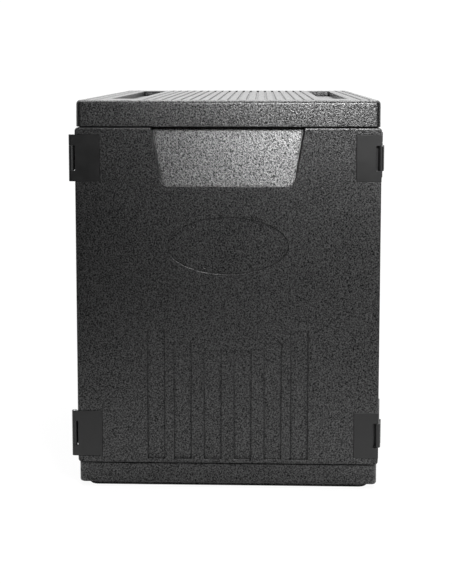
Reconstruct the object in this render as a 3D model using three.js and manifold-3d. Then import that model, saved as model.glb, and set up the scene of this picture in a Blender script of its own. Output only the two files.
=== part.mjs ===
// Front-loading insulated food carrier: a moulded foam box for catering pans, with a swing door.
// Millimetres, +Z up. The door is on the -Y side, its hinges on the left (-X), its latches on the right.
import * as THREE from 'three';
import { mergeVertices } from 'three/addons/utils/BufferGeometryUtils.js';
import Module from 'manifold-3d';

const wasm = await Module();
wasm.setup();

// ---- driving dimensions -------------------------------------------------------------------

const BODY = { halfWidth: 220, front: -316, back: 320, corner: 8, edge: 6, lowEdge: 3, split: [300, 400] };
const FOOT = { height: 8, inset: 12, corner: 14, edge: 2, recess: 3, band: 40 };
const TOP = { height: 575, relief: 2.4, border: 13, groove: 2.5 };
const WALL = { side: 52.5, floor: 50, roof: 56, back: 50, cavityCorner: 14 };
const DOOR = {
  front: -320,
  thickness: 38,
  halfWidth: 221.25,
  bottom: 39.5,
  top: 535.5,
  corner: 5,
  edge: 2.5,
};
const SEAM = 1;
const PLUG = { depth: 15, draft: 2.5, gap: 2, corner: 12 };

const RIDGE = { pitch: 13.8, width: 9.8, corner: 2, fieldCount: 20, rimCentre: 200.1 };
const RELIEF = { fieldHalf: 131.1, rimInner: 191.2, rimOuter: 209 };
const TROUGH = { inner: 137.6, outer: 178, depth: 9, border: 68 };

const LEDGE = { count: 6, lowest: 110, pitch: 65, reach: 15, tip: 8, root: 20, start: -250 };

const SCOOP = { topHalf: 111, bottomHalf: 98.5, height: 85, corner: 13, topDepth: 18, bottomDepth: 1 };
const GRIP = { half: 70, bottom: 430, height: 42, depth: 24, corner: 10 };
const BADGE = { height: 364, halfWidth: 89, halfHeight: 42.4, depth: 2 };
const DIMPLE = { radius: 2.5, depth: 1, places: [[48, 29], [32.5, -31]] };
const BARS = { width: 26, bottom: 46, depth: 2.4, tops: [[22, 210], [66, 221], [105, 239]] };
const SIDE_BARS = { middle: 30 };

const PLATE = { height: 68, margin: 10, thickness: 3.7, reach: 36, fit: 0.3 };
const HINGE = { x: -226.3, y: -316.2, radius: 3.8, hole: 2.05, pin: 1.75, knuckle: 35.8, gap: 0.3 };
const LEAF = {
  outer: 225.1,
  inner: 222.4,
  stepFront: -279,
  stepLength: 9,
  plateBack: -222,
  plateOuter: 223.5,
  screwY: -238,
};
const BARB = { radius: 4.5, length: 18, x: 203, z: 20 };

const NOTCH = { x: 213.2, height: 36.6, floor: -311.6, cupBack: -308, cupX: 210, cupHeight: 43 };
const NOSE = { x: 220.4, y: -316, radius: 3.8, height: 35.6 };
const LEVER = { inner: 221.9, outer: 224.3, ridgeX: 227, ridgeY: -296, ridgeRadius: 3 };
const PIVOT = { x: 225.3, y: -246, radius: 4.8, hole: 2.05, pin: 1.75, window: 36.8 };
const LATCH_PLATE = { front: -276, back: -212, outer: 223.5, screwY: -226 };

const SCREW = { head: 3.5, headHeight: 1.6, shank: 1.9, length: 24, drive: 1.3, driveDepth: 1 };
const ANCHOR = { radius: 4.6, hole: 2.2, length: 26, rib: 0.25, ribs: 2, bottom: 2 };
const SCREW_SPREAD = 20;

const TOUCH = 0.3; // gap between pieces that rest on one another
const PAST = 1; // how far a cutter runs beyond the face it cuts
const ROUND = 24; // sides of a small cylinder
const FASTENER_SIDES = 12;

const SIDE_X = BODY.halfWidth + TOUCH;
const DOOR_BACK = DOOR.front + DOOR.thickness;
const OPENING = { front: DOOR_BACK + SEAM, bottom: DOOR.bottom - SEAM, top: DOOR.top + SEAM };
const CAVITY = {
  half: BODY.halfWidth - WALL.side,
  bottom: WALL.floor,
  top: TOP.height - WALL.roof,
  back: BODY.back - WALL.back,
};
const LEVELS = {
  upper: DOOR.top - PLATE.margin - PLATE.height / 2,
  lower: DOOR.bottom + PLATE.margin + PLATE.height / 2,
};

// ---- solids from three.js geometry ----------------------------------------------------------

function solid(geometry) {
  const bare = geometry.index ? geometry.toNonIndexed() : geometry.clone();
  bare.deleteAttribute('normal');
  bare.deleteAttribute('uv');
  const merged = mergeVertices(bare, 1e-4);
  return new wasm.Manifold(new wasm.Mesh({
    numProp: 3,
    vertProperties: new Float32Array(merged.attributes.position.array),
    triVerts: new Uint32Array(merged.index.array),
  }));
}

function geometryOf(manifold) {
  const mesh = manifold.getMesh();
  const geometry = new THREE.BufferGeometry();
  geometry.setAttribute('position', new THREE.BufferAttribute(mesh.vertProperties, mesh.numProp));
  geometry.setIndex(new THREE.BufferAttribute(mesh.triVerts, 1));
  const flat = geometry.toNonIndexed();
  flat.computeVertexNormals();
  return flat;
}

function join(...pieces) {
  return pieces.reduce((whole, piece) => whole.add(piece));
}

function cut(whole, ...cutters) {
  return cutters.reduce((rest, cutter) => rest.subtract(cutter), whole);
}

function block(x, y, z) {
  const box = new THREE.BoxGeometry(x[1] - x[0], y[1] - y[0], z[1] - z[0]);
  box.translate((x[0] + x[1]) / 2, (y[0] + y[1]) / 2, (z[0] + z[1]) / 2);
  return solid(box);
}

function roundedOutline(u, v, radius) {
  const outline = new THREE.Shape();
  outline.absarc(u[1] - radius, v[0] + radius, radius, -Math.PI / 2, 0);
  outline.absarc(u[1] - radius, v[1] - radius, radius, 0, Math.PI / 2);
  outline.absarc(u[0] + radius, v[1] - radius, radius, Math.PI / 2, Math.PI);
  outline.absarc(u[0] + radius, v[0] + radius, radius, Math.PI, 1.5 * Math.PI);
  return outline;
}

// An outline swept along its third axis, with its end edges rounded or sloped inside the given sizes.
function sweep(outline, depth, { slope = 0, rise = slope, steps = 1, arcs = 4 } = {}) {
  return new THREE.ExtrudeGeometry(outline, {
    depth: depth - 2 * rise,
    curveSegments: arcs,
    bevelEnabled: slope > 0,
    bevelSize: slope,
    bevelOffset: -slope,
    bevelThickness: rise,
    bevelSegments: steps,
  }).translate(0, 0, rise);
}

// A box with rounded upright edges and rounded top and bottom edges.
function softBlock(x, y, z, corner, edge, steps = 2) {
  const geometry = sweep(roundedOutline(x, y, corner), z[1] - z[0], { slope: edge, steps });
  return solid(geometry.translate(0, 0, z[0]));
}

// The same box lying down: its outline is in X and Z, and it runs along Y.
function softPanel(x, y, z, corner, edge, rise = edge, steps = 2) {
  const geometry = sweep(roundedOutline(x, z, corner), y[1] - y[0], { slope: edge, rise, steps });
  return solid(geometry.rotateX(Math.PI / 2).translate(0, y[1], 0));
}

// An outline in X and Z, swept straight from one Y to the other.
function panelCut(outline, y, arcs = 4) {
  return solid(sweep(outline, y[1] - y[0], { arcs }).rotateX(Math.PI / 2).translate(0, y[1], 0));
}

function rod(axis, radius, at, from, to, sides = ROUND) {
  const rodGeometry = new THREE.CylinderGeometry(radius, radius, to - from, sides);
  const middle = (from + to) / 2;
  if (axis === 'x') rodGeometry.rotateZ(Math.PI / 2).translate(middle, at[0], at[1]);
  if (axis === 'y') rodGeometry.translate(at[0], middle, at[1]);
  if (axis === 'z') rodGeometry.rotateX(Math.PI / 2).translate(at[0], at[1], middle);
  return solid(rodGeometry);
}

// Both signs, for what is the same on the left and on the right.
const SIDES = [-1, 1];

function sorted(a, b) {
  return a < b ? [a, b] : [b, a];
}

// ---- body ---------------------------------------------------------------------------------

// Shallow sunk fields in the roof's top; the ridges stand in them, as high as the border.
function topRelief(x) {
  const y = [BODY.front + TOP.border, BODY.back - TOP.border];
  return block(x, y, [TOP.height - TOP.relief, TOP.height + PAST]);
}

function topReliefs() {
  const rims = SIDES.map((side) => topRelief(sorted(side * RELIEF.rimInner, side * RELIEF.rimOuter)));
  return [topRelief([-RELIEF.fieldHalf, RELIEF.fieldHalf]), ...rims];
}

function topRidge(x) {
  const half = RIDGE.width / 2;
  const inset = TOP.border + TOP.groove;
  const base = TOP.height - TOP.relief - PAST;
  const outline = roundedOutline([x - half, x + half], [BODY.front + inset, BODY.back - inset], RIDGE.corner);
  return solid(sweep(outline, TOP.height - base).translate(0, 0, base));
}

function topRidges() {
  const middle = (RIDGE.fieldCount - 1) / 2;
  const field = Array.from({ length: RIDGE.fieldCount }, (_, i) => (i - middle) * RIDGE.pitch);
  const rims = SIDES.map((side) => side * RIDGE.rimCentre);
  return [...field, ...rims].map(topRidge);
}

function topTrough(side) {
  const y = [BODY.front + TROUGH.border, BODY.back - TROUGH.border];
  const z = [TOP.height - TROUGH.depth, TOP.height + PAST];
  return block(sorted(side * TROUGH.inner, side * TROUGH.outer), y, z);
}

function ledge(side, level) {
  const wall = CAVITY.half + PAST;
  const tip = CAVITY.half - LEDGE.reach;
  const top = LEDGE.lowest + level * LEDGE.pitch;
  const outline = new THREE.Shape([
    new THREE.Vector2(side * wall, top),
    new THREE.Vector2(side * tip, top),
    new THREE.Vector2(side * tip, top - LEDGE.tip),
    new THREE.Vector2(side * wall, top - LEDGE.root),
  ]);
  return panelCut(outline, [LEDGE.start, CAVITY.back + PAST]);
}

function ledges() {
  return SIDES.flatMap((side) => Array.from({ length: LEDGE.count }, (_, level) => ledge(side, level)));
}

// A hand recess in the back wall; turned, it serves the sides too.
function gripCut(wallY) {
  const y = [wallY - GRIP.depth, wallY + GRIP.depth];
  return softPanel([-GRIP.half, GRIP.half], y, [GRIP.bottom, GRIP.bottom + GRIP.height], GRIP.corner, 1);
}

function gripCuts() {
  const turned = SIDES.map((side) => gripCut(BODY.halfWidth).rotate([0, 0, side * 90]));
  return [gripCut(BODY.back), ...turned];
}

function barCuts(outerY, innerY) {
  return SIDES.flatMap((side) => BARS.tops.map(([x, top]) => block(
    [side * x - BARS.width / 2, side * x + BARS.width / 2],
    sorted(outerY, innerY),
    [BARS.bottom, top],
  )));
}

// The same bars on the two side walls, behind the hinge and latch plates.
function sideBarCuts() {
  const wall = BODY.halfWidth;
  return SIDES.flatMap((side) => barCuts(-wall - PAST, -wall + BARS.depth).map(
    (bar) => bar.rotate([0, 0, side * 90]).translate([0, SIDE_BARS.middle, 0]),
  ));
}

function anchorCuts() {
  const depth = SIDE_X - TOUCH - ANCHOR.length - 2 * TOUCH;
  return sideScrewPlaces().map(({ side, y, z }) => rod(
    'x', ANCHOR.radius + ANCHOR.rib + TOUCH, [y, z], ...sorted(side * depth, side * (SIDE_X + PAST)),
    FASTENER_SIDES,
  ));
}

function bodyShell() {
  const half = BODY.halfWidth;
  const [x, y] = [[-half, half], [BODY.front, BODY.back]];
  const upper = softBlock(x, y, [BODY.split[0], TOP.height], BODY.corner, BODY.edge, 4);
  const lower = softBlock(x, y, [FOOT.height, BODY.split[1]], BODY.corner, BODY.lowEdge);
  const footX = [FOOT.inset - half, half - FOOT.inset];
  const footY = [BODY.front + FOOT.inset, BODY.back - FOOT.inset];
  const foot = softBlock(footX, footY, [0, FOOT.height + BODY.lowEdge + PAST], FOOT.corner, FOOT.edge);
  const hollowX = [footX[0] + FOOT.band, footX[1] - FOOT.band];
  const hollowY = [footY[0] + FOOT.band, footY[1] - FOOT.band];
  const hollow = softBlock(hollowX, hollowY, [-FOOT.recess, FOOT.recess], FOOT.corner, 1);
  const doorway = block([-half - PAST, half + PAST], [BODY.front - PAST, OPENING.front],
    [OPENING.bottom, OPENING.top]);
  const cavity = softPanel([-CAVITY.half, CAVITY.half], [BODY.front, CAVITY.back],
    [CAVITY.bottom, CAVITY.top], WALL.cavityCorner, 6);
  const shell = cut(join(upper, lower), ...SIDES.map(topTrough), ...topReliefs());
  return cut(
    join(cut(join(shell, foot, ...topRidges()), hollow, doorway, cavity), ...ledges()),
    ...gripCuts(),
    ...barCuts(BODY.back + PAST, BODY.back - BARS.depth),
    ...sideBarCuts(),
    ...anchorCuts(),
  );
}

// ---- door ---------------------------------------------------------------------------------

// A hand scoop open at the door's top edge: its floor slopes out to the face as it goes down.
function scoopCut() {
  const top = DOOR.top + PAST;
  const bottom = DOOR.top - SCOOP.height;
  const lean = Math.atan2(SCOOP.topHalf - SCOOP.bottomHalf, SCOOP.height);
  const outline = new THREE.Shape();
  outline.moveTo(SCOOP.topHalf, top);
  outline.lineTo(-SCOOP.topHalf, top);
  outline.absarc(-SCOOP.bottomHalf + SCOOP.corner, bottom + SCOOP.corner, SCOOP.corner,
    Math.PI + lean, 1.5 * Math.PI);
  outline.absarc(SCOOP.bottomHalf - SCOOP.corner, bottom + SCOOP.corner, SCOOP.corner,
    -Math.PI / 2, -lean);
  const upright = panelCut(outline, [DOOR.front - PAST, DOOR.front + SCOOP.topDepth + PAST]);
  const side = new THREE.Shape([
    new THREE.Vector2(bottom - PAST, -DOOR.front + PAST),
    new THREE.Vector2(bottom - PAST, -DOOR.front - SCOOP.bottomDepth),
    new THREE.Vector2(top, -DOOR.front - SCOOP.topDepth),
    new THREE.Vector2(top, -DOOR.front + PAST),
  ]);
  const wedgeGeometry = sweep(side, 2 * SCOOP.topHalf + 2 * PAST);
  wedgeGeometry.translate(0, 0, -SCOOP.topHalf - PAST);
  // outline X becomes Z, outline Y becomes -Y, and the sweep runs along X
  const wedge = solid(wedgeGeometry.applyMatrix4(new THREE.Matrix4().set(
    0, 0, 1, 0,
    0, -1, 0, 0,
    1, 0, 0, 0,
    0, 0, 0, 1,
  )));
  return upright.intersect(wedge);
}

function badgeCut() {
  const outline = new THREE.Shape();
  outline.absellipse(0, BADGE.height, BADGE.halfWidth, BADGE.halfHeight, 0, 2 * Math.PI);
  return panelCut(outline, [DOOR.front - PAST, DOOR.front + BADGE.depth], ROUND / 2);
}

function dimpleCuts() {
  return SIDES.flatMap((side) => DIMPLE.places.map(([x, z]) => rod(
    'y', DIMPLE.radius, [side * x, BADGE.height + z],
    DOOR.front - PAST, DOOR.front + BADGE.depth + DIMPLE.depth, 12,
  )));
}

function plateCuts(level) {
  const z = [level - PLATE.height / 2 - PLATE.fit, level + PLATE.height / 2 + PLATE.fit];
  const depth = DOOR.front + PLATE.thickness + PLATE.fit;
  const edge = DOOR.halfWidth + PAST;
  const inner = DOOR.halfWidth - PLATE.reach - PLATE.fit;
  const inlays = SIDES.map((side) => block(sorted(side * edge, side * inner), [DOOR.front - PAST, depth], z));
  const cupX = [NOTCH.cupX - PLATE.fit, edge];
  const cupHalf = NOTCH.cupHeight / 2 + PLATE.fit;
  const cup = block(cupX, [DOOR.front - PAST, NOTCH.cupBack + PLATE.fit], [level - cupHalf, level + cupHalf]);
  const barbs = SIDES.flatMap((side) => SIDES.map((up) => rod(
    'y', BARB.radius + PLATE.fit, [side * BARB.x, level + up * BARB.z],
    DOOR.front, depth + BARB.length + PLATE.fit,
  )));
  return [...inlays, cup, ...barbs];
}

function door() {
  const half = DOOR.halfWidth;
  const flange = softPanel([-half, half], [DOOR.front, DOOR_BACK], [DOOR.bottom, DOOR.top],
    DOOR.corner, DOOR.edge);
  const plugHalf = CAVITY.half - PLUG.gap;
  const plug = softPanel([-plugHalf, plugHalf], [DOOR_BACK - PLUG.depth - PLUG.gap, DOOR_BACK + PLUG.depth],
    [CAVITY.bottom + PLUG.gap, CAVITY.top - PLUG.gap], PLUG.corner, PLUG.draft, PLUG.depth, 1);
  return cut(
    join(flange, plug),
    scoopCut(),
    badgeCut(),
    ...dimpleCuts(),
    ...barCuts(DOOR.front - PAST, DOOR.front + BARS.depth),
    ...Object.values(LEVELS).flatMap(plateCuts),
  );
}

// ---- hinges -------------------------------------------------------------------------------

function barbs(side, level) {
  const front = DOOR.front + PLATE.thickness;
  return SIDES.map((up) => rod('y', BARB.radius, [side * BARB.x, level + up * BARB.z],
    front - PAST, front + BARB.length));
}

function hingeDoorLeaf(level) {
  const half = PLATE.height / 2;
  const slot = HINGE.knuckle / 2 + HINGE.gap;
  const inner = PLATE.reach - DOOR.halfWidth;
  const slotEdge = TOUCH - DOOR.halfWidth;
  const z = [level - half, level + half];
  const face = block([HINGE.x, inner], [DOOR.front, DOOR.front + PLATE.thickness], z);
  const knuckle = rod('z', HINGE.radius, [HINGE.x, HINGE.y], level - half, level + half);
  const opening = block([HINGE.x - HINGE.radius - PAST, slotEdge],
    [DOOR.front - PAST, HINGE.y + 2 * HINGE.radius], [level - slot, level + slot]);
  const bore = rod('z', HINGE.hole, [HINGE.x, HINGE.y], level - half - PAST, level + half + PAST);
  return cut(join(face, knuckle, ...barbs(-1, level)), opening, bore);
}

function hingeBodyLeaf(level) {
  const half = PLATE.height / 2;
  const arm = HINGE.knuckle / 2;
  const knuckle = rod('z', HINGE.radius, [HINGE.x, HINGE.y], level - arm, level + arm);
  const strap = block([-LEAF.outer, -LEAF.inner], [HINGE.y, LEAF.stepFront + LEAF.stepLength],
    [level - arm, level + arm]);
  const step = block([-LEAF.outer, -SIDE_X], [LEAF.stepFront, LEAF.stepFront + LEAF.stepLength],
    [level - arm, level + arm]);
  const plateY = [LEAF.stepFront, LEAF.plateBack];
  const plate = block([-LEAF.plateOuter, -SIDE_X], plateY, [level - half, level + half]);
  const bore = rod('z', HINGE.hole, [HINGE.x, HINGE.y], level - half, level + half);
  const holes = screwPlaces('hinge', level).map(({ y, z }) => rod('x', ANCHOR.hole, [y, z],
    -LEAF.outer - PAST, -BODY.halfWidth));
  return cut(join(knuckle, strap, step, plate), bore, ...holes);
}

function hingePin(level) {
  const half = PLATE.height / 2;
  return rod('z', HINGE.pin, [HINGE.x, HINGE.y], level - half, level + half);
}

// ---- latches ------------------------------------------------------------------------------

function latchKeeper(level) {
  const half = PLATE.height / 2;
  const x = [DOOR.halfWidth - PLATE.reach, DOOR.halfWidth];
  const face = block(x, [DOOR.front, DOOR.front + PLATE.thickness], [level - half, level + half]);
  const cupHalf = NOTCH.cupHeight / 2;
  const cup = block([NOTCH.cupX, DOOR.halfWidth], [DOOR.front + 1, NOTCH.cupBack],
    [level - cupHalf, level + cupHalf]);
  const notchHalf = NOTCH.height / 2;
  const notch = block([NOTCH.x, DOOR.halfWidth + PAST], [DOOR.front - PAST, NOTCH.floor],
    [level - notchHalf, level + notchHalf]);
  return cut(join(face, cup, ...barbs(1, level)), notch);
}

function latchLever(level) {
  const half = NOSE.height / 2;
  const nose = rod('z', NOSE.radius, [NOSE.x, NOSE.y], level - half, level + half);
  const arm = block([LEVER.inner, LEVER.outer], [NOSE.y, PIVOT.y], [level - half, level + half]);
  const hub = rod('z', PIVOT.radius, [PIVOT.x, PIVOT.y], level - half, level + half);
  const fingerRidge = rod('z', LEVER.ridgeRadius, [LEVER.ridgeX - LEVER.ridgeRadius, LEVER.ridgeY],
    level - half, level + half);
  const clearDoor = block([DOOR.halfWidth - 2 * LEVER.ridgeRadius, LEVER.inner],
    [LEVER.ridgeY - LEVER.ridgeRadius - PAST, LEVER.ridgeY + LEVER.ridgeRadius + PAST],
    [level - half - PAST, level + half + PAST]);
  const bore = rod('z', PIVOT.hole, [PIVOT.x, PIVOT.y], level - half - PAST, level + half + PAST);
  return cut(join(nose, arm, hub, cut(fingerRidge, clearDoor)), bore);
}

function latchBase(level) {
  const half = PLATE.height / 2;
  const windowHalf = PIVOT.window / 2;
  const z = [level - half, level + half];
  const plate = block([SIDE_X, LATCH_PLATE.outer], [LATCH_PLATE.front, LATCH_PLATE.back], z);
  const ears = rod('z', PIVOT.radius, [PIVOT.x, PIVOT.y], ...z);
  const root = block([SIDE_X, PIVOT.x], [PIVOT.y - PIVOT.radius, PIVOT.y + PIVOT.radius], z);
  const opening = block([BODY.halfWidth - PAST, PIVOT.x + PIVOT.radius + PAST],
    [LATCH_PLATE.front - PAST, PIVOT.y + PIVOT.radius + 2 * TOUCH], [level - windowHalf, level + windowHalf]);
  const insideBody = block([BODY.halfWidth - 2 * PIVOT.radius, SIDE_X],
    [PIVOT.y - 2 * PIVOT.radius, PIVOT.y + 2 * PIVOT.radius], [z[0] - PAST, z[1] + PAST]);
  const bore = rod('z', PIVOT.hole, [PIVOT.x, PIVOT.y], z[0] - PAST, z[1] + PAST);
  const holes = screwPlaces('latch', level).map(({ y, z: height }) => rod('x', ANCHOR.hole, [y, height],
    BODY.halfWidth, LATCH_PLATE.outer + PAST));
  return cut(join(plate, ears, root), opening, insideBody, bore, ...holes);
}

function latchPin(level) {
  const half = PLATE.height / 2;
  return rod('z', PIVOT.pin, [PIVOT.x, PIVOT.y], level - half, level + half);
}

// ---- fasteners ----------------------------------------------------------------------------

function screwPlaces(kind, level) {
  const side = kind === 'hinge' ? -1 : 1;
  const y = kind === 'hinge' ? LEAF.screwY : LATCH_PLATE.screwY;
  return SIDES.map((up) => ({ side, y, z: level + up * SCREW_SPREAD, end: up > 0 ? 'top' : 'bottom' }));
}

function sideScrewPlaces() {
  const levels = Object.values(LEVELS);
  return ['hinge', 'latch'].flatMap((kind) => levels.flatMap((level) => screwPlaces(kind, level)));
}

function screw({ side, y, z }) {
  const seat = LATCH_PLATE.outer + TOUCH;
  const head = rod('x', SCREW.head, [y, z], ...sorted(side * seat, side * (seat + SCREW.headHeight)),
    FASTENER_SIDES);
  const shank = rod('x', SCREW.shank, [y, z], ...sorted(side * (seat + PAST), side * (seat - SCREW.length)),
    FASTENER_SIDES);
  const faceX = side * (seat + SCREW.headHeight);
  const driveX = sorted(faceX - side * SCREW.driveDepth, faceX + side * PAST);
  const drive = rod('x', SCREW.drive, [y, z], ...driveX, 6);
  return cut(join(head, shank), drive);
}

function anchor({ side, y, z }) {
  const outer = BODY.halfWidth - TOUCH;
  const inner = outer - ANCHOR.length;
  const span = (from, to) => sorted(side * from, side * to);
  const sleeve = rod('x', ANCHOR.radius, [y, z], ...span(outer, inner), FASTENER_SIDES);
  const pitch = ANCHOR.length / ANCHOR.ribs;
  const ribs = Array.from({ length: ANCHOR.ribs }, (_, i) => rod('x', ANCHOR.radius + ANCHOR.rib, [y, z],
    ...span(inner + (i + 0.3) * pitch, inner + (i + 0.6) * pitch), FASTENER_SIDES));
  const bore = rod('x', ANCHOR.hole, [y, z], ...span(outer + PAST, inner + ANCHOR.bottom),
    FASTENER_SIDES);
  return cut(join(sleeve, ...ribs), bore);
}

// ---- scene ----------------------------------------------------------------------------------

const FOAM = { color: 0x303031, roughness: 0.62, metalness: 0 };
const HARDWARE = { color: 0x1d1d1e, roughness: 0.38, metalness: 0 };
const NYLON = { color: 0x262627, roughness: 0.5, metalness: 0 };
const STEEL = { color: 0x9a9a9c, roughness: 0.3, metalness: 1 };

const carrier = new THREE.Group();
carrier.name = 'insulated_food_carrier';

function place(name, manifold, finish) {
  const mesh = new THREE.Mesh(geometryOf(manifold), new THREE.MeshStandardMaterial(finish));
  mesh.name = name;
  carrier.add(mesh);
}

place('body_shell', bodyShell(), FOAM);
place('door', door(), FOAM);
for (const [name, level] of Object.entries(LEVELS)) {
  place(`hinge_door_leaf_${name}`, hingeDoorLeaf(level), HARDWARE);
  place(`hinge_body_leaf_${name}`, hingeBodyLeaf(level), HARDWARE);
  place(`hinge_pin_${name}`, hingePin(level), STEEL);
  place(`latch_keeper_${name}`, latchKeeper(level), HARDWARE);
  place(`latch_lever_${name}`, latchLever(level), HARDWARE);
  place(`latch_base_${name}`, latchBase(level), HARDWARE);
  place(`latch_pin_${name}`, latchPin(level), STEEL);
  for (const kind of ['hinge', 'latch']) {
    for (const spot of screwPlaces(kind, level)) {
      place(`${kind}_screw_${name}_${spot.end}`, screw(spot), STEEL);
      place(`${kind}_anchor_${name}_${spot.end}`, anchor(spot), NYLON);
    }
  }
}

export default carrier;
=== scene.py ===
"""Looks of the front-loading insulated food carrier: foam mouldings, hinges, latches, light and camera."""
import math

import bmesh
import bpy
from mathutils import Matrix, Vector

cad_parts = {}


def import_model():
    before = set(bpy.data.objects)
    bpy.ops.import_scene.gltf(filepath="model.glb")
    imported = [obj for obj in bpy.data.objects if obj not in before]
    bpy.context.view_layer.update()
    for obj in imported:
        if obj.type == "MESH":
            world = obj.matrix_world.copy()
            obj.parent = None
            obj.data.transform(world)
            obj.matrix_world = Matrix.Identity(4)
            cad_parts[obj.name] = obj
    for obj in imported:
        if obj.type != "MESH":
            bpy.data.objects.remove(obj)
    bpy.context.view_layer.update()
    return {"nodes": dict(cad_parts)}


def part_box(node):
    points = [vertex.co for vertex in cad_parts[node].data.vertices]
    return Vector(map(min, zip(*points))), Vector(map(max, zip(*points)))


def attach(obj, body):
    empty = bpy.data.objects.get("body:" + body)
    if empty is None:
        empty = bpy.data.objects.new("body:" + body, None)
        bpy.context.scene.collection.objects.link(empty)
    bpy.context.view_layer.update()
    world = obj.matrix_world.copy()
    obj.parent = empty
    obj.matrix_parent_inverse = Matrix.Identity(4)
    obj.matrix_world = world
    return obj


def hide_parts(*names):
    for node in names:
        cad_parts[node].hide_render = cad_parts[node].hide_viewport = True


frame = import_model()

MM = 0.001

# ---- sizes, in metres -------------------------------------------------------------------

LEVELS = ("upper", "lower")
ENDS = ("bottom", "top")

FLAT_ANGLE = math.radians(0.6)     # faces closer than this to one plane are joined
SHARP_ANGLE = math.radians(34)     # edges sharper than this are rounded
WELD = 1e-6                        # vertices closer than this are one

FOAM_ROUND = 0.5 * MM              # small radius on every moulded foam edge
GROOVE_ROUND = 0.9 * MM            # radius at the top and the foot of the roof's ridges
LIP_ROUND = 1.5 * MM               # radius on the edges that hands and the door meet
DOORWAY_ROUND = 1.0 * MM           # radius on the body's edges round the door
PLATE_ROUND = 0.35 * MM            # radius on the edges of the hardware
BAR_FLOOR = 2.4 * MM               # depth of the door's bars
BAR_RISE = 1.0 * MM                # how much shallower they are at their tops
BAR_TOPS = (200 * MM, 245 * MM)    # heights between which the bars end
AT_FLOOR = 0.1 * MM                # how near a vertex lies to the bars' floor to be part of it
SCOOP_HALF = 113 * MM              # half the width that holds the door's hand scoop
SCOOP_REACH = 60 * MM              # how far below the door's top edge the scoop's rim is rounded
RIM_DEPTH = 2 * MM                 # how far behind the door's face that rim lies
ROOF_DEPTH = 3 * MM                # how far below the highest point the roof's ridges reach
DOORWAY_MARGIN = 2 * MM            # how far past the door's height the doorway's edges lie
SLAB_DRAFT = 2.0 * MM              # how far the roof slab's face leans back from bottom to top
SLAB_FRONT = 11 * MM               # depth of the slab's front that leans with its face

BEAD = 3.8 * MM                    # one foam bead
STIPPLE = 2.0 * MM                 # the tool's fine grain
PIT = 2.1 * MM                     # one small pit between the beads
GRAIN_DEPTH = 0.42 * MM            # height of the foam's grain
CREASE = 5.0 * MM                  # how near a second surface must be for painted shade to dim a corner's reflection

TURN = (0.61, 0.43, 0.87)          # how the textures are turned against the object, in radians

FLOOR_RADIUS = 1.7
FLAT_WEIGHT = 60                   # how strongly the large faces hold the shading flat

# Places on the hinges and latches that the splits below run through.
HINGE_X = -0.2263
HINGE_SCREW_Y = -0.238
LATCH_Y = -0.246
LATCH_SCREW_Y = -0.226
PLATE_X = 0.203

# Planes, as axis and place, that split faces with holes in them into simple ones.
BODY_SPLITS = ((0, 0.0), (1, 0.0), (2, 0.130), (1, HINGE_SCREW_Y), (1, LATCH_SCREW_Y))
DOOR_SPLITS = ((0, 0.0), (2, 0.130), (2, 0.393), (2, 0.333), (0, -PLATE_X), (0, PLATE_X))
SPLITS = {
    "hinge_door_leaf": ((0, -PLATE_X), (0, HINGE_X)),
    "hinge_body_leaf": ((0, HINGE_X), (1, HINGE_SCREW_Y)),
    "latch_keeper": ((0, PLATE_X),),
    "latch_base": ((1, LATCH_SCREW_Y), (1, LATCH_Y)),
    "latch_lever": ((1, LATCH_Y),),
    "hinge_screw": ((1, HINGE_SCREW_Y),),
    "hinge_anchor": ((1, HINGE_SCREW_Y),),
    "latch_screw": ((1, LATCH_SCREW_Y),),
    "latch_anchor": ((1, LATCH_SCREW_Y),),
}

# ---- node graphs ------------------------------------------------------------------------


class Graph:
    """A short way to write a shader: each call adds one node and wires its inputs."""

    def __init__(self, tree):
        self.tree = tree
        tree.nodes.clear()

    def add(self, kind, inputs=None, **settings):
        node = self.tree.nodes.new(kind)
        for key, value in settings.items():
            setattr(node, key, value)
        for key, value in (inputs or {}).items():
            if isinstance(value, bpy.types.NodeSocket):
                self.tree.links.new(value, node.inputs[key])
            else:
                node.inputs[key].default_value = value
        return node

    def mathf(self, operation, a, b=0.0, clamp=False):
        return self.add("ShaderNodeMath", {0: a, 1: b}, operation=operation, use_clamp=clamp).outputs[0]

    def fit(self, value, low, high, to_low, to_high):
        inputs = {"Value": value, "From Min": low, "From Max": high, "To Min": to_low, "To Max": to_high}
        return self.add("ShaderNodeMapRange", inputs).outputs["Result"]

    def noise(self, where, size, detail=2.0, roughness=0.5):
        inputs = {"Vector": where, "Scale": 1 / size, "Detail": detail, "Roughness": roughness}
        return self.add("ShaderNodeTexNoise", inputs).outputs["Fac"]

    def place(self):
        """Object coordinates turned off square, so that no flat face lies along a texture's own grid."""
        where = self.add("ShaderNodeTexCoord").outputs["Object"]
        return self.add("ShaderNodeMapping", {"Vector": where, "Rotation": TURN}).outputs["Vector"]

    def cells(self, where, size, feature="F1"):
        inputs = {"Vector": where, "Scale": 1 / size}
        return self.add("ShaderNodeTexVoronoi", inputs, feature=feature)

    def tint(self, low, high, factor):
        node = self.add("ShaderNodeMix", data_type="RGBA")
        self.tree.links.new(factor, node.inputs[0])
        node.inputs[6].default_value = low
        node.inputs[7].default_value = high
        return node.outputs[2]

    def surface(self, shader):
        self.add("ShaderNodeOutputMaterial", {"Surface": shader})


def grey(value):
    return (value, value, value * 1.02, 1.0)


def new_material(name):
    material = bpy.data.materials.new(name)
    material.use_nodes = True
    return material, Graph(material.node_tree)


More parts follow.
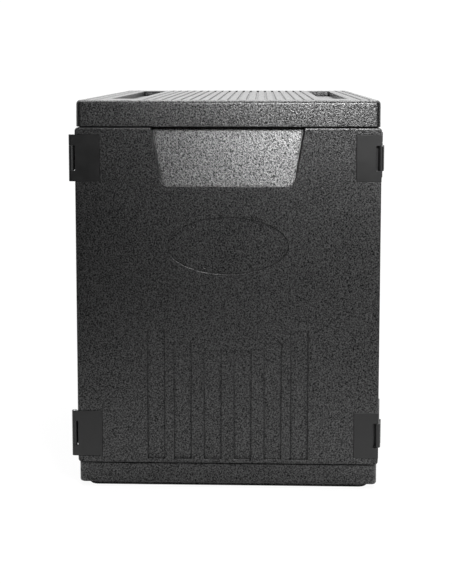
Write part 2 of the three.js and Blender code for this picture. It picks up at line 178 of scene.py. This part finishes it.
def foam_material():
    """Black moulded bead foam: bead cells, fine stipple, soft mottling, edges lightened as rubbed wear and
    painted highlight, and painted shade that dims the reflection in close corners.
    """
    material, g = new_material("bead_foam")
    where = g.place()
    wobble = g.noise(where, 6 * MM, 3.0)
    bead_colour = g.cells(where, BEAD).outputs["Color"]
    tone = g.add("ShaderNodeSeparateColor", {"Color": bead_colour}).outputs["Red"]
    seam = g.fit(g.cells(where, BEAD, "DISTANCE_TO_EDGE").outputs["Distance"], 0.0, 0.11, 0.0, 1.0)
    stipple = g.noise(where, STIPPLE, 2.0, 0.6)
    pits = g.fit(g.cells(where, PIT).outputs["Distance"], 0.05, 0.45, 0.0, 1.0)
    mottle = g.noise(where, 70 * MM, 3.0)
    edge = g.add("ShaderNodeAttribute", attribute_name="edge").outputs["Fac"]

    shade = g.mathf("MULTIPLY", tone, 0.30)
    shade = g.mathf("ADD", shade, g.mathf("MULTIPLY", stipple, 0.55))
    shade = g.mathf("ADD", shade, g.mathf("MULTIPLY", mottle, 0.25))
    shade = g.mathf("MULTIPLY", shade, g.fit(seam, 0.0, 1.0, 0.72, 1.0))
    # Rounded edges are lightened: partly rubbed wear, partly painted highlight.
    rubbed_and_highlit = g.mathf("MULTIPLY", edge, g.fit(wobble, 0.35, 0.7, 0.15, 0.5))
    shade = g.mathf("ADD", shade, rubbed_and_highlit, clamp=True)
    colour = g.tint(grey(0.001), grey(0.008), shade)

    # Painted shade: the occlusion node dims the reflection in close corners and creases; the reflection also
    # follows the grain, weakest in its hollows.
    crease_shade = g.add("ShaderNodeAmbientOcclusion", {"Distance": CREASE}, samples=12).outputs["AO"]
    crease_shade = g.fit(crease_shade, 0.55, 0.97, 0.12, 1.0)
    gloss_and_shade = g.mathf("MULTIPLY", g.fit(stipple, 0.35, 0.65, 0.03, 1.1), crease_shade)

    height = g.mathf("MULTIPLY", stipple, 0.85)
    height = g.mathf("ADD", height, g.mathf("MULTIPLY", seam, 0.10))
    height = g.mathf("ADD", height, g.mathf("MULTIPLY", pits, 0.12))
    bump = g.add("ShaderNodeBump", {"Height": height, "Strength": 1.0, "Distance": GRAIN_DEPTH})
    roughness = g.fit(stipple, 0.3, 0.7, 0.31, 0.38)
    shader = g.add("ShaderNodeBsdfPrincipled", {
        "Base Color": colour,
        "Roughness": roughness,
        "IOR": 1.5,
        "Specular IOR Level": gloss_and_shade,
        "Normal": bump.outputs["Normal"],
    })
    g.surface(shader.outputs[0])
    return material


def hardware_material():
    """Smooth satin moulded plastic with faint flow marks, handling scuffs, and edges lightened as rubbed
    wear and painted highlight.
    """
    material, g = new_material("moulded_plastic")
    where = g.place()
    flow = g.noise(where, 22 * MM, 4.0, 0.55)
    fine = g.noise(where, 0.5 * MM, 2.0)
    scuff = g.fit(g.noise(where, 4 * MM, 6.0, 0.7), 0.55, 0.75, 0.0, 1.0)
    edge = g.add("ShaderNodeAttribute", attribute_name="edge").outputs["Fac"]
    # Rounded edges are lightened: partly rubbed wear, partly painted highlight.
    shade = g.mathf("ADD", g.mathf("MULTIPLY", flow, 0.6), g.mathf("MULTIPLY", edge, 0.3), clamp=True)
    colour = g.tint(grey(0.001), grey(0.006), shade)
    roughness = g.mathf("ADD", g.fit(flow, 0.3, 0.7, 0.35, 0.41), g.mathf("MULTIPLY", scuff, 0.10))
    height = g.mathf("ADD", g.mathf("MULTIPLY", fine, 0.3), g.mathf("MULTIPLY", flow, 0.7))
    bump = g.add("ShaderNodeBump", {"Height": height, "Strength": 0.12, "Distance": 0.2 * MM})
    shader = g.add("ShaderNodeBsdfPrincipled", {
        "Base Color": colour,
        "Roughness": roughness,
        "IOR": 1.5,
        "Specular IOR Level": 0.44,
        "Normal": bump.outputs["Normal"],
    })
    g.surface(shader.outputs[0])
    return material


def nylon_material():
    """Dull dark nylon with a slight grain."""
    material, g = new_material("nylon")
    where = g.place()
    grain = g.noise(where, 0.8 * MM, 3.0)
    colour = g.tint(grey(0.016), grey(0.040), grain)
    bump = g.add("ShaderNodeBump", {"Height": grain, "Strength": 0.3, "Distance": 0.1 * MM})
    shader = g.add("ShaderNodeBsdfPrincipled", {
        "Base Color": colour,
        "Roughness": g.fit(grain, 0.3, 0.7, 0.45, 0.6),
        "Normal": bump.outputs["Normal"],
    })
    g.surface(shader.outputs[0])
    return material


def steel_material():
    """Zinc-plated steel with a fine grain and a faint spangle."""
    material, g = new_material("zinc_steel")
    where = g.place()
    brush = g.noise(where, 0.35 * MM, 4.0, 0.6)
    cell_colour = g.cells(where, 1.6 * MM).outputs["Color"]
    spangle = g.add("ShaderNodeSeparateColor", {"Color": cell_colour}).outputs["Red"]
    shade = g.mathf("ADD", g.mathf("MULTIPLY", brush, 0.6), g.mathf("MULTIPLY", spangle, 0.4))
    colour = g.tint(grey(0.38), grey(0.62), shade)
    bump = g.add("ShaderNodeBump", {"Height": brush, "Strength": 0.2, "Distance": 0.05 * MM})
    shader = g.add("ShaderNodeBsdfPrincipled", {
        "Base Color": colour,
        "Metallic": 1.0,
        "Roughness": g.fit(brush, 0.3, 0.7, 0.24, 0.42),
        "Normal": bump.outputs["Normal"],
    })
    g.surface(shader.outputs[0])
    return material


# ---- meshes -----------------------------------------------------------------------------


def solid_of(node, splits):
    """The CAD solid of a node, with its flat facets joined into whole faces."""
    bm = bmesh.new()
    bm.from_mesh(frame["nodes"][node].data)
    bmesh.ops.remove_doubles(bm, verts=bm.verts, dist=WELD)
    for axis, place in splits:
        normal = Vector((0, 0, 0))
        normal[axis] = 1
        everything = bm.verts[:] + bm.edges[:] + bm.faces[:]
        made = bmesh.ops.bisect_plane(bm, geom=everything, dist=WELD,
                                      plane_co=normal * place, plane_no=normal)
        for item in made["geom_cut"]:
            if isinstance(item, bmesh.types.BMEdge):
                item.seam = True
    bmesh.ops.dissolve_limit(bm, angle_limit=FLAT_ANGLE, verts=bm.verts, edges=bm.edges, delimit={"SEAM"})
    return bm


def sharp_edges(bm, where=lambda middle: True):
    found = []
    for edge in bm.edges:
        middle = (edge.verts[0].co + edge.verts[1].co) / 2
        if edge.is_manifold and edge.calc_face_angle() > SHARP_ANGLE and where(middle):
            found.append(edge)
    return found


def round_edges(bm, edges, radius, steps):
    """Rounds edges and marks the new faces, so that the material can lighten them as rubbed wear and painted
    highlight.
    """
    mark = bm.faces.layers.int.get("rounded") or bm.faces.layers.int.new("rounded")
    made = bmesh.ops.bevel(bm, geom=edges, offset=radius, offset_type="OFFSET", segments=steps,
                           profile=0.5, affect="EDGES", clamp_overlap=False)
    for face in made["faces"]:
        face[mark] = 1


def piece_from(bm, name, material, body, nodes):
    """A finished piece: smooth shading held flat on its flat faces, riding on its body."""
    mark = bm.faces.layers.int.get("rounded")
    bmesh.ops.remove_doubles(bm, verts=bm.verts, dist=WELD)
    low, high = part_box(nodes[0])
    for vert in bm.verts:
        vert.co = [min(max(at, least), most) for at, least, most in zip(vert.co, low, high)]
    for face in bm.faces:
        face.smooth = True
    mesh = bpy.data.meshes.new(name)
    edge_values = [0.0] * len(bm.verts)
    bm.verts.index_update()
    if mark:
        for face in bm.faces:
            if face[mark]:
                for vert in face.verts:
                    edge_values[vert.index] = 1.0
    bm.to_mesh(mesh)
    bm.free()
    mesh.attributes.new("edge", "FLOAT", "POINT").data.foreach_set("value", edge_values)
    mesh.materials.append(material)
    piece = bpy.data.objects.new(name, mesh)
    bpy.context.scene.collection.objects.link(piece)
    weighted = piece.modifiers.new("flat faces", "WEIGHTED_NORMAL")
    weighted.keep_sharp = True
    weighted.weight = FLAT_WEIGHT
    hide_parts(*nodes)
    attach(piece, body)
    return piece


# ---- body and door ----------------------------------------------------------------------


def lean_slab(bm, bottom, front):
    """Leans the roof slab's face back, as the moulding's draft does."""
    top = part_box("body_shell")[1].z
    for vert in bm.verts:
        if vert.co.z > bottom - MM and vert.co.y < front + SLAB_FRONT:
            vert.co.y += SLAB_DRAFT * (vert.co.z - bottom) / (top - bottom)


def body_piece(material):
    bm = solid_of("body_shell", BODY_SPLITS)
    low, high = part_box("body_shell")
    door_low, door_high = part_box("door")
    lean_slab(bm, door_high.z + MM, low.y)

    def doorway(middle):
        beside = door_low.z - DOORWAY_MARGIN < middle.z < door_high.z + DOORWAY_MARGIN
        return middle.y < door_high.y and beside

    def on_top(middle):
        return middle.z > high.z - ROOF_DEPTH

    round_edges(bm, sharp_edges(bm, on_top), GROOVE_ROUND, 2)
    round_edges(bm, sharp_edges(bm, doorway), DOORWAY_ROUND, 2)
    rest = sharp_edges(bm, lambda middle: not doorway(middle) and not on_top(middle))
    round_edges(bm, rest, FOAM_ROUND, 2)
    return piece_from(bm, "foam_body", material, "carrier", ["body_shell"])


def door_piece(material):
    bm = solid_of("door", DOOR_SPLITS)
    low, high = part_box("door")
    for vert in bm.verts:
        at_floor = abs(vert.co.y - low.y - BAR_FLOOR) < AT_FLOOR
        if at_floor and BAR_TOPS[0] < vert.co.z < BAR_TOPS[1]:
            vert.co.y -= BAR_RISE

    def scoop(middle):
        inside = abs(middle.x) < SCOOP_HALF and middle.y < low.y + RIM_DEPTH
        return inside and high.z - SCOOP_REACH < middle.z < high.z - MM

    round_edges(bm, sharp_edges(bm, scoop), LIP_ROUND, 3)
    round_edges(bm, sharp_edges(bm, lambda middle: not scoop(middle)), FOAM_ROUND, 2)
    return piece_from(bm, "foam_door", material, "swing_door", ["door"])


# ---- hardware ---------------------------------------------------------------------------


def refined(node, body, material):
    kind = next((kind for kind in SPLITS if node.startswith(kind)), None)
    bm = solid_of(node, SPLITS.get(kind, ()))
    round_edges(bm, sharp_edges(bm), PLATE_ROUND, 2)
    return piece_from(bm, "fine_" + node, material, body, [node])


def hardware_pieces(plastic, steel, nylon):
    for level in LEVELS:
        refined(f"hinge_door_leaf_{level}", "swing_door", plastic)
        refined(f"latch_keeper_{level}", "swing_door", plastic)
        refined(f"hinge_body_leaf_{level}", "carrier", plastic)
        refined(f"latch_base_{level}", "carrier", plastic)
        refined(f"latch_lever_{level}", f"{level}_latch", plastic)
        refined(f"hinge_pin_{level}", "carrier", steel)
        refined(f"latch_pin_{level}", "carrier", steel)
        for kind in ("hinge", "latch"):
            for end in ENDS:
                refined(f"{kind}_screw_{level}_{end}", "carrier", steel)
                refined(f"{kind}_anchor_{level}_{end}", "carrier", nylon)


# ---- stage ------------------------------------------------------------------------------


def floor():
    material, g = new_material("studio_floor")
    where = g.add("ShaderNodeTexCoord").outputs["Object"]
    colour = g.tint((0.90, 0.90, 0.90, 1), (0.93, 0.93, 0.93, 1), g.noise(where, 0.4))
    shaded = g.add("ShaderNodeBsdfDiffuse", {"Color": colour})
    clear = g.add("ShaderNodeEmission", {"Color": colour, "Strength": 1.1})
    pale = g.add("ShaderNodeMixShader", {0: 0.93, 1: shaded.outputs[0], 2: clear.outputs[0]})
    reach = g.add("ShaderNodeVectorMath", {0: where}, operation="LENGTH").outputs["Value"]
    tone = g.fit(reach, 0.45, 1.3, 0.66, 0.12)
    dim = g.add("ShaderNodeBsdfDiffuse", {"Color": tone})
    seen = g.add("ShaderNodeLightPath").outputs["Is Camera Ray"]
    g.surface(g.add("ShaderNodeMixShader", {0: seen, 1: dim.outputs[0], 2: pale.outputs[0]}).outputs[0])
    bpy.ops.mesh.primitive_circle_add(vertices=96, radius=FLOOR_RADIUS, fill_type="NGON")
    ground = bpy.context.object
    ground.name = "studio_floor"
    ground.data.materials.append(material)


def world():
    """A pale studio: bright behind the object, less bright above it, dim on the camera's side."""
    studio = bpy.data.worlds.new("studio")
    bpy.context.scene.world = studio
    studio.use_nodes = True
    g = Graph(studio.node_tree)
    way = g.add("ShaderNodeSeparateXYZ", {0: g.add("ShaderNodeTexCoord").outputs["Generated"]})
    behind = g.fit(way.outputs["Y"], -0.1, 0.6, 0.0, 1.0)
    above = g.fit(way.outputs["Z"], 0.4, 1.0, 0.0, 0.3)
    strength = g.fit(g.mathf("MAXIMUM", behind, above), 0.0, 1.0, 0.04, 1.75)
    seen = g.add("ShaderNodeLightPath").outputs["Is Camera Ray"]
    lit = g.add("ShaderNodeBackground", {"Color": (1, 1, 1, 1), "Strength": strength})
    shown = g.add("ShaderNodeBackground", {"Color": (1, 1, 1, 1), "Strength": 1.05})
    mix = g.add("ShaderNodeMixShader", {0: seen, 1: lit.outputs[0], 2: shown.outputs[0]})
    g.add("ShaderNodeOutputWorld", {"Surface": mix.outputs[0]})


def softbox(name, place, target, size, power):
    data = bpy.data.lights.new(name, "AREA")
    data.shape = "RECTANGLE"
    data.size, data.size_y = size
    data.energy = power
    lamp = bpy.data.objects.new(name, data)
    lamp.location = place
    lamp.rotation_euler = (Vector(target) - Vector(place)).to_track_quat("-Z", "Y").to_euler()
    bpy.context.scene.collection.objects.link(lamp)


def lights():
    softbox("key", (0.20, -1.08, 0.92), (0.10, -0.32, 0.52), (0.22, 0.20), 14)
    softbox("right fill", (0.90, -1.90, 0.45), (0.20, -0.32, 0.30), (0.8, 1.0), 5)
    softbox("overhead", (0.3, 0.5, 2.8), (0.0, 0.1, 0.5), (2.4, 2.4), 110)


CAMERA_PLACE = (0.0488, -1.9494, 0.6241)
CAMERA_PITCH = 0.0949      # radians below level
CAMERA_YAW = 0.0313        # radians to the left
CAMERA_LENS = 1137 * 36 / 584
CAMERA_SHIFT = -118 / 584


def camera():
    data = bpy.data.cameras.new("camera")
    data.lens = CAMERA_LENS
    data.sensor_width = 36
    data.shift_y = CAMERA_SHIFT
    view = bpy.data.objects.new("camera", data)
    view.location = CAMERA_PLACE
    view.rotation_euler = (math.pi / 2 - CAMERA_PITCH, 0, CAMERA_YAW)
    bpy.context.scene.collection.objects.link(view)
    bpy.context.scene.camera = view


camera()
world()
lights()
floor()
bpy.context.scene.view_settings.view_transform = "Standard"

foam = foam_material()
body_piece(foam)
door_piece(foam)
hardware_pieces(hardware_material(), steel_material(), nylon_material())

bpy.context.view_layer.update()
